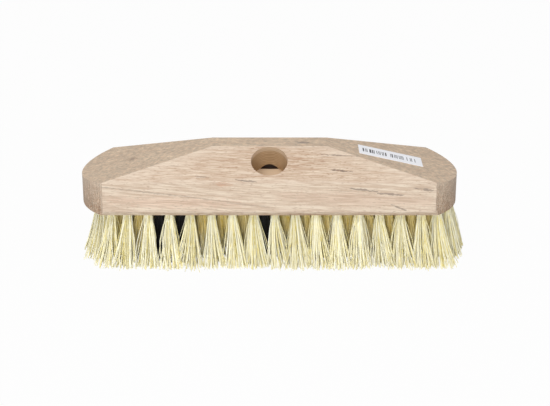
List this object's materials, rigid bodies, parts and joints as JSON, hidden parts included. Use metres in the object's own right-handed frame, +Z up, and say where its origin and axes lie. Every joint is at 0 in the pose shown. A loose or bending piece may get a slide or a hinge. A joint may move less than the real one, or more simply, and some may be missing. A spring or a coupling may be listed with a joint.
{
  "type": "scrub brush head",
  "caption": "Beech scrub brush head with a roof-shaped back, angled handle bores in both slopes and rows of cream plant-fibre tufts held by wire anchors.",
  "frame": {"origin": "on the plane of the tuft tips, under the middle of the tuft field", "axes": "+X along the block towards the label, -Y out of the front handle bore, +Z up from the tufts to the ridge"},
  "size_m": [0.257, 0.0746, 0.076],
  "materials": {
    "beech": "sanded, unvarnished",
    "cream_fibre": "dry plant fibre",
    "dark_fibre": "dry dyed fibre",
    "anchor_wire": "bright flat wire",
    "label_paper": "matt coated"
  },
  "bodies": {
    "root": {"beech_block": "beech", "front_row_tufts": "cream_fibre", "second_row_tufts": "cream_fibre", "dark_tufts": "dark_fibre", "middle_row_tufts": "cream_fibre", "fourth_row_tufts": "cream_fibre", "back_row_tufts": "cream_fibre", "left_end_tufts": "cream_fibre", "right_end_tufts": "cream_fibre", "front_row_anchors": "anchor_wire", "second_row_anchors": "anchor_wire", "middle_row_anchors": "anchor_wire", "fourth_row_anchors": "anchor_wire", "back_row_anchors": "anchor_wire", "left_end_anchors": "anchor_wire", "right_end_anchors": "anchor_wire", "paper_label": "label_paper"}
  },
  "joints": []
}
